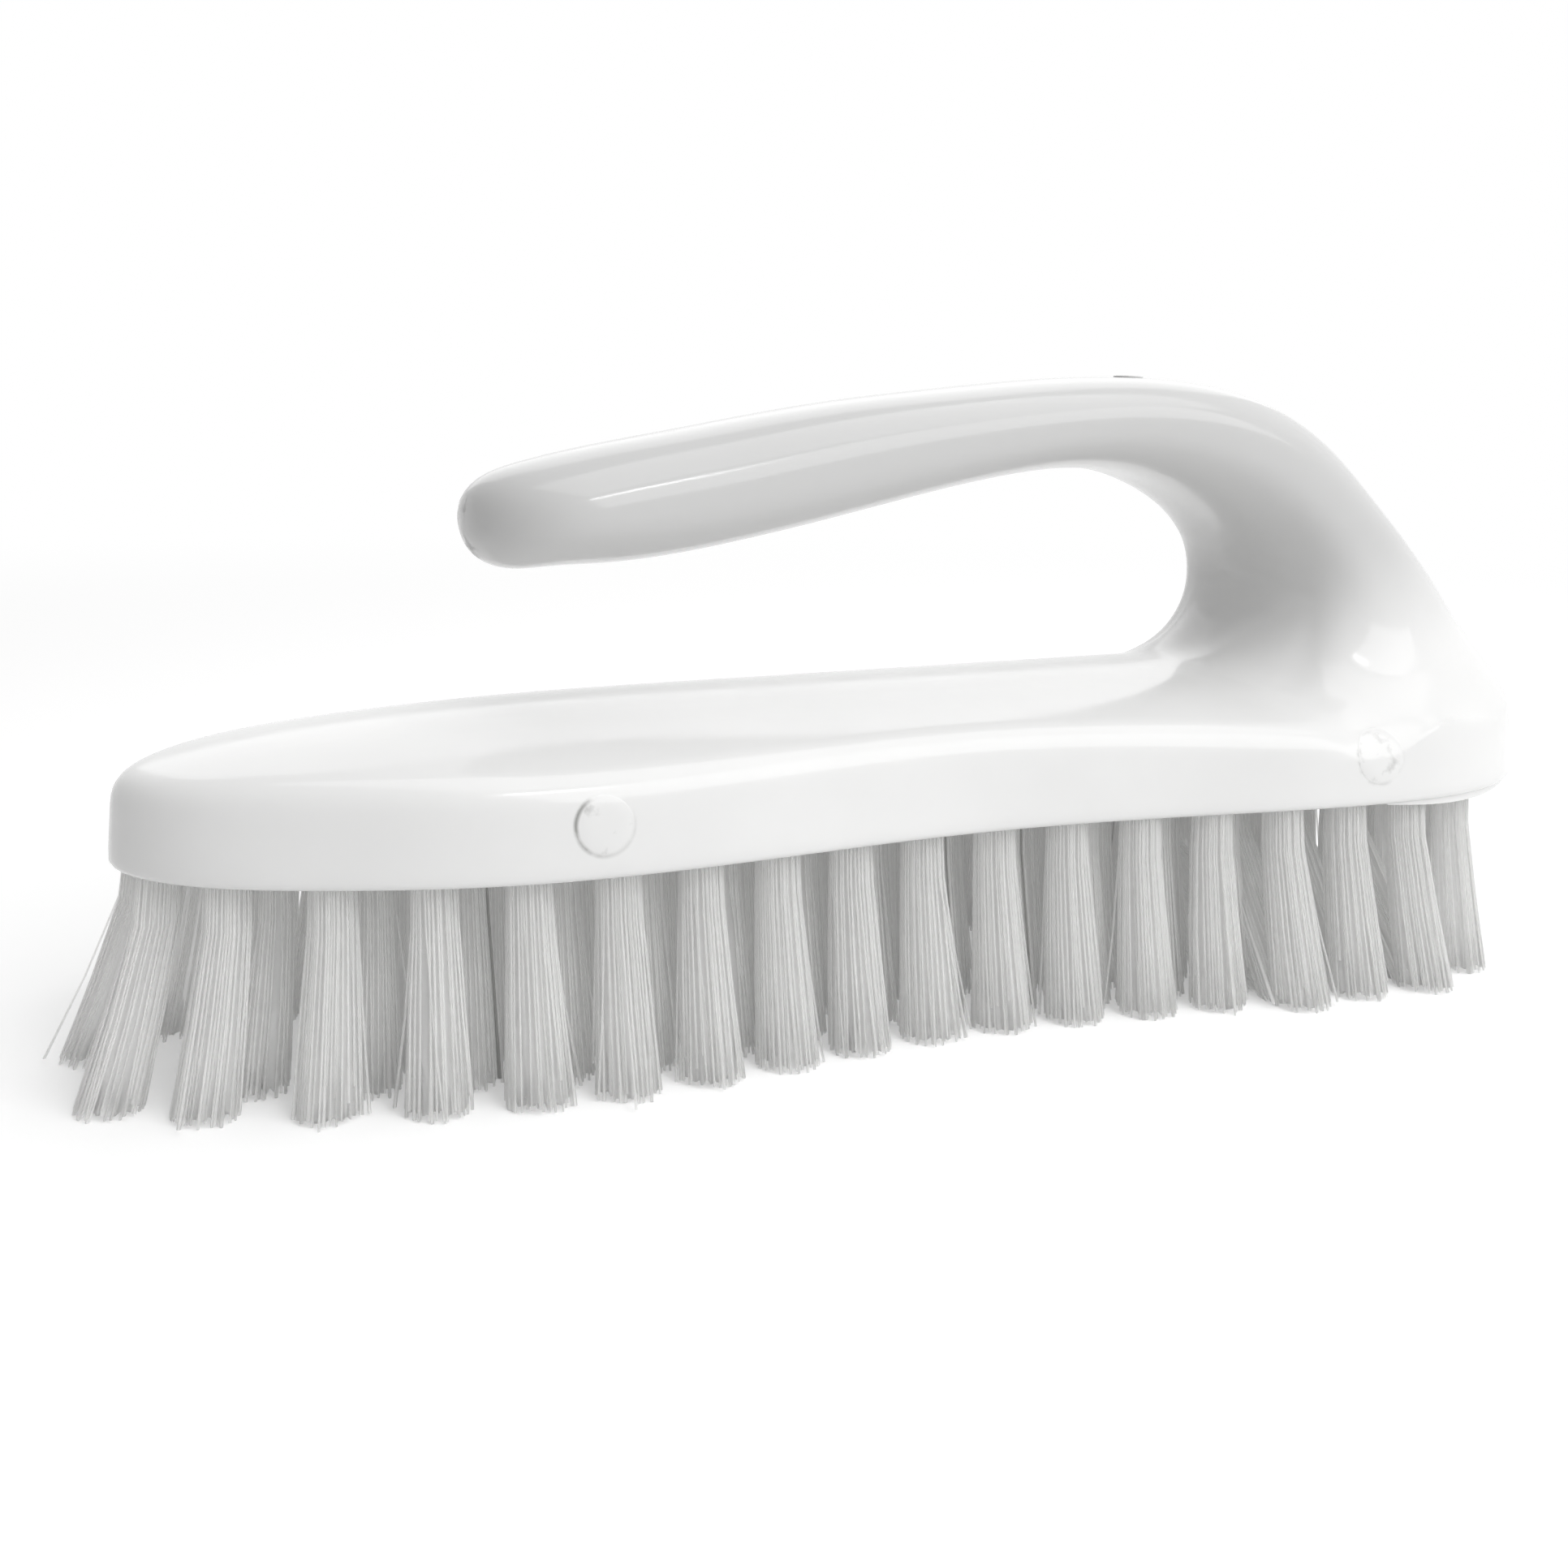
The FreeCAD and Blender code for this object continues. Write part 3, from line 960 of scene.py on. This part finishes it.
def makeGlossPlastic():
    material, tree, shader = newMaterial("glossPlastic")
    place = addPlace(tree)
    streaks = addMottle(tree, place, glossPlastic["toneScale"])
    tone = addBlend(tree, streaks, glossPlastic["pale"], glossPlastic["dull"])
    # painted shade: the leg and grip, above this height, painted greyer than the block
    gripShadeMask = addRange(tree, addSplit(tree, place)["Z"], glossPlastic["gripFrom"])
    shadedTone = addBlend(tree, gripShadeMask, tone, glossPlastic["grip"])
    # pin prints on the near wall: broken rim lines with painted shade on their toe's side, a little dirt
    # inside
    rimsWithShade, discs = [], []
    for x, height, radius in pins["places"]:
        level = underside + height
        values = (place, (x, nearWall(x, level), level), radius, glossPlastic["rimLine"])
        mark = addNode(tree, "ShaderNodeGroup", node_tree=pinPrint)
        feedAll(tree, values, [mark.inputs[k] for k in ("Place", "Centre", "Radius", "Line")])
        rimsWithShade.append(mark.outputs["Rim"])
        discs.append(mark.outputs["Disc"])
    rimBreaks = addMottle(tree, place, *glossPlastic["rimMottle"])
    rimLinesWithShade = addMath(tree, "MULTIPLY", addMath(tree, "MAXIMUM", *rimsWithShade), rimBreaks)
    dirtPatches = addMottle(tree, place, *glossPlastic["dirtMottle"])
    dirt = addMath(tree, "MULTIPLY", addMath(tree, "MAXIMUM", *discs), dirtPatches)
    # dark specks here and there
    cells = addNode(tree, "ShaderNodeTexVoronoi")
    feed(tree, place, cells.inputs["Vector"])
    feed(tree, glossPlastic["speckSpacing"], cells.inputs["Scale"])
    speck = addRange(tree, cells.outputs["Distance"], glossPlastic["speckSize"], fading)
    few = addNode(tree, "ShaderNodeSeparateColor")
    feed(tree, cells.outputs["Color"], few.inputs[0])
    some = addMath(tree, "GREATER_THAN", few.outputs[0], glossPlastic["speckLimit"])
    specks = addMath(tree, "MULTIPLY", speck, some)
    # painted shade on the pin rims, with real dirt and specks, all in one dark colour
    marksAndShade = addMath(tree, "MAXIMUM", addMath(tree, "MAXIMUM", rimLinesWithShade, dirt), specks)
    feed(tree, addBlend(tree, marksAndShade, shadedTone, glossPlastic["scuffAndShade"]), shader.inputs["Base Color"])
    sheen = addMottle(tree, place, glossPlastic["sheenScale"])
    roughness = addRange(tree, sheen, (0.0, 1.0), glossPlastic["roughness"], "LINEAR")
    feed(tree, roughness, shader.inputs["Roughness"])
    bump = addNode(tree, "ShaderNodeBump")
    feed(tree, glossPlastic["bumpStrength"], bump.inputs["Strength"])
    feed(tree, glossPlastic["bumpDistance"], bump.inputs["Distance"])
    feed(tree, addMottle(tree, place, glossPlastic["bumpScale"]), bump.inputs["Height"])
    feed(tree, bump.outputs["Normal"], shader.inputs["Normal"])
    feed(tree, glossPlastic["ior"], shader.inputs["IOR"])
    return material


bristlePlastic = {
    "pale": (0.95, 0.95, 0.945, 1),
    "dull": (0.87, 0.87, 0.865, 1),
    "strandShare": 0.6,  # of the tone, by strand
    "mottleShare": 0.4,  # and by mottle
    "mottleScale": 900.0,
    "dark": (0.42, 0.42, 0.41, 1),
    "darkShare": 0.006,
    "roughness": 0.35,
    "clear": 0.6,  # share of the light that goes on through
    "ior": 1.08,
    "paintedGlow": 0.045,  # painted light: a faint glow of the filaments, lifting the shade between tufts
}


def makeBristlePlastic():
    material, tree, shader = newMaterial("bristlePlastic")
    strand = addNode(tree, "ShaderNodeAttribute", attribute_name="strand").outputs["Fac"]
    spots = addMottle(tree, addPlace(tree), bristlePlastic["mottleScale"])
    part = addMath(tree, "MULTIPLY", spots, bristlePlastic["mottleShare"])
    share = addMath(tree, "MULTIPLY_ADD", strand, bristlePlastic["strandShare"], part)
    tone = addBlend(tree, share, bristlePlastic["dull"], bristlePlastic["pale"])
    rare = addMath(tree, "LESS_THAN", strand, bristlePlastic["darkShare"])
    feed(tree, addBlend(tree, rare, tone, bristlePlastic["dark"]), shader.inputs["Base Color"])
    feed(tree, bristlePlastic["roughness"], shader.inputs["Roughness"])
    feed(tree, bristlePlastic["clear"], shader.inputs["Transmission Weight"])
    feed(tree, bristlePlastic["ior"], shader.inputs["IOR"])
    # painted light: the bristles glow faintly
    feed(tree, bristlePlastic["pale"], shader.inputs["Emission Color"])
    feed(tree, bristlePlastic["paintedGlow"], shader.inputs["Emission Strength"])
    return material


anchorSteel = {
    "pale": (0.62, 0.61, 0.59, 1),
    "dull": (0.42, 0.41, 0.40, 1),
    "mottleScale": 1500.0,
    "roughness": 0.35,
}


def makeAnchorSteel():
    material, tree, shader = newMaterial("anchorSteel")
    spots = addMottle(tree, addPlace(tree), anchorSteel["mottleScale"])
    feed(tree, addBlend(tree, spots, anchorSteel["pale"], anchorSteel["dull"]), shader.inputs["Base Color"])
    feed(tree, 1.0, shader.inputs["Metallic"])
    feed(tree, anchorSteel["roughness"], shader.inputs["Roughness"])
    return material


def setMaterial(piece, material):
    piece.data.materials.clear()
    piece.data.materials.append(material)


mouldingMaterial = makeGlossPlastic()
bristleMaterial = makeBristlePlastic()
steelMaterial = makeAnchorSteel()
setMaterial(brushMoulding, mouldingMaterial)
for row in tuftRows.values():
    setMaterial(row, bristleMaterial)
for name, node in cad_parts.items():
    if name.startswith("anchors_"):
        setMaterial(node, steelMaterial)

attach(brushMoulding, "root")
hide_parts("brush_block")
for name, row in tuftRows.items():
    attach(row, "root")
    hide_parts(name)
print("materials set")


# floor, background and soft studio light

studio = {
    "floorSize": 30.0,
    "floorColour": (0.92, 0.92, 0.92, 1),
    "floorGlow": 0.26,
    "whiteSpan": (0.22, 0.70),  # distance at which the floor begins to turn white, and is white
    "white": (1, 1, 1, 1),
    "worldFill": (0.03, 0.50),  # on the toe's side, on the heel's side
    "horizonGain": 0.72,
    "horizonReach": 0.5,
    "brightSide": (0.75, -0.35, 0.55),
    # name, place, aimed at, width, height, watts
    "lamps": [
        ("topSoftbox", (0.20, 0.05, 0.95), (0.0, 0.0, 0.03), 0.9, 0.9, 3.0),
        ("stripSoftbox", (0.08, -0.60, 0.85), (-0.03, 0.0, 0.05), 0.26, 0.09, 0.8),
        ("frontSoftbox", (0.36, -0.72, 0.68), (0.0, 0.0, 0.03), 0.8, 0.7, 4.1),
        ("backSoftbox", (0.33, 0.85, 0.46), (0.0, 0.0, 0.04), 1.0, 0.5, 0.8),
    ],
}


# rays that see the white background: the camera's, and those mirrored or let through by the object
def addSeen(tree):
    rays = addNode(tree, "ShaderNodeLightPath").outputs
    seen = addMath(tree, "MAXIMUM", rays["Is Camera Ray"], rays["Is Glossy Ray"])
    return addMath(tree, "MAXIMUM", seen, rays["Is Transmission Ray"])


def mixShaders(tree, share, first, second):
    node = addNode(tree, "ShaderNodeMixShader")
    feedAll(tree, (share, first, second), node.inputs)
    return node.outputs[0]


def makeFloor():
    pick()
    bpy.ops.mesh.primitive_plane_add(size=studio["floorSize"])
    floor = bpy.context.object
    floor.name = "studioFloor"
    material, tree, shader = newMaterial("palePaper")
    tree.nodes.remove(shader)
    paper = addNode(tree, "ShaderNodeBsdfDiffuse")
    feed(tree, studio["floorColour"], paper.inputs["Color"])
    glow = addNode(tree, "ShaderNodeEmission")
    feed(tree, studio["floorGlow"], glow.inputs["Strength"])
    lit = addNode(tree, "ShaderNodeAddShader")
    feedAll(tree, (paper.outputs[0], glow.outputs[0]), lit.inputs)
    white = addNode(tree, "ShaderNodeEmission")
    seen = addSeen(tree)
    fade = addRange(tree, addVector(tree, "LENGTH", addPlace(tree)), studio["whiteSpan"])
    near = mixShaders(tree, seen, paper.outputs[0], lit.outputs[0])
    surface = mixShaders(tree, addMath(tree, "MULTIPLY", seen, fade), near, white.outputs[0])
    feed(tree, surface, tree.nodes["Material Output"].inputs["Surface"])
    setMaterial(floor, material)


def makeWorld():
    world = bpy.data.worlds.new("whiteStudio")
    bpy.context.scene.world = world
    world.use_nodes = True
    tree = world.node_tree
    sky = addPlace(tree, "Generated")
    toward = addVector(tree, "DOT_PRODUCT", sky, studio["brightSide"])
    level = addRange(tree, toward, (-1.0, 1.0), studio["worldFill"], "LINEAR")
    horizon = (1 + studio["horizonGain"], 1.0)
    band = addRange(tree, addSplit(tree, sky)["Z"], (0.0, studio["horizonReach"]), horizon)
    fill = tree.nodes["Background"]
    feed(tree, studio["white"], fill.inputs["Color"])
    feed(tree, addMath(tree, "MULTIPLY", level, band), fill.inputs["Strength"])
    white = addNode(tree, "ShaderNodeBackground")
    feed(tree, studio["white"], white.inputs["Color"])
    surface = mixShaders(tree, addSeen(tree), fill.outputs[0], white.outputs[0])
    feed(tree, surface, tree.nodes["World Output"].inputs["Surface"])


def makeLamps():
    for name, place, aim, width, height, watts in studio["lamps"]:
        bpy.ops.object.light_add(type="AREA", location=place)
        lamp = bpy.context.object
        lamp.name = name
        lamp.data.energy = watts
        lamp.data.shape = "RECTANGLE"
        lamp.data.size = width
        lamp.data.size_y = height
        lamp.rotation_euler = (Vector(aim) - Vector(place)).to_track_quat("-Z", "Y").to_euler()


makeFloor()
makeWorld()
makeLamps()
bpy.context.scene.view_settings.view_transform = "Standard"
print("studio lit")
